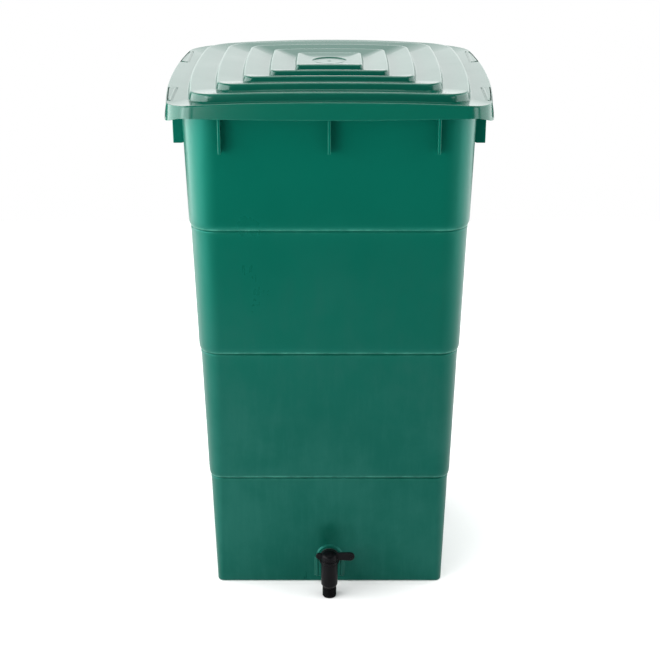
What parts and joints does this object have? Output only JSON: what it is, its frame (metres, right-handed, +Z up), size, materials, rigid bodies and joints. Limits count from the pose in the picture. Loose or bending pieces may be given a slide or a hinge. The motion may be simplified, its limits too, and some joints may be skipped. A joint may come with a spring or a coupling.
{
  "type": "rainwater butt",
  "caption": "Square tapered garden rainwater tank with step rings, a stepped lid with rocking locks, and a barrel tap.",
  "frame": {"origin": "on the ground under the middle of the tank", "axes": "+Z up, tap on the -Y side, +X to the right when facing the tap"},
  "size_m": [0.5936, 0.5902, 0.9804],
  "materials": {
    "green_tank": "moulded polyethylene, satin, lightly scuffed",
    "green_lid": "moulded polyethylene, glossy",
    "black_plastic": "moulded, satin black",
    "black_rubber": "soft matt rubber",
    "pin_steel": "bright stainless pin"
  },
  "bodies": {
    "tank": {"tank": "green_tank", "tank_rim": "green_tank", "rim_gussets": "green_tank", "tap_body": "black_plastic", "outlet_nozzle": "black_plastic", "nozzle_seal": "black_rubber", "outer_washer": "black_rubber", "inner_washer": "black_rubber", "lock_nut": "black_plastic"},
    "lid": {"lid": "green_lid", "lock_pin_front_left": "pin_steel", "lock_pin_front_right": "pin_steel", "lock_pin_rear_left": "pin_steel", "lock_pin_rear_right": "pin_steel"},
    "lock_front_left": {"lid_lock_front_left": "green_lid"},
    "lock_front_right": {"lid_lock_front_right": "green_lid"},
    "lock_rear_left": {"lid_lock_rear_left": "green_lid"},
    "lock_rear_right": {"lid_lock_rear_right": "green_lid"},
    "tap_valve": {"tap_lever": "black_plastic", "tap_plug": "black_plastic", "plug_seal_upper": "black_rubber", "plug_seal_lower": "black_rubber"}
  },
  "joints": [
    {"name": "lid_lift", "type": "slide", "parent": "tank", "child": "lid", "axis": [0, 0, 1], "range_m": [0, 0.25]},
    {"name": "lock_front_left_rock", "type": "hinge", "parent": "lid", "child": "lock_front_left", "pos_m": [-0.276, -0.173, 0.9482], "axis": [0, -1, 0], "range_deg": [0, 12]},
    {"name": "lock_front_right_rock", "type": "hinge", "parent": "lid", "child": "lock_front_right", "pos_m": [0.276, -0.173, 0.9482], "axis": [0, 1, 0], "range_deg": [0, 12]},
    {"name": "lock_rear_left_rock", "type": "hinge", "parent": "lid", "child": "lock_rear_left", "pos_m": [-0.276, 0.173, 0.9482], "axis": [0, -1, 0], "range_deg": [0, 12]},
    {"name": "lock_rear_right_rock", "type": "hinge", "parent": "lid", "child": "lock_rear_right", "pos_m": [0.276, 0.173, 0.9482], "axis": [0, 1, 0], "range_deg": [0, 12]},
    {"name": "tap_turn", "type": "hinge", "parent": "tank", "child": "tap_valve", "pos_m": [0, -0.272, 0.077], "axis": [0, 0, 1], "range_deg": [-90, 0]}
  ]
}
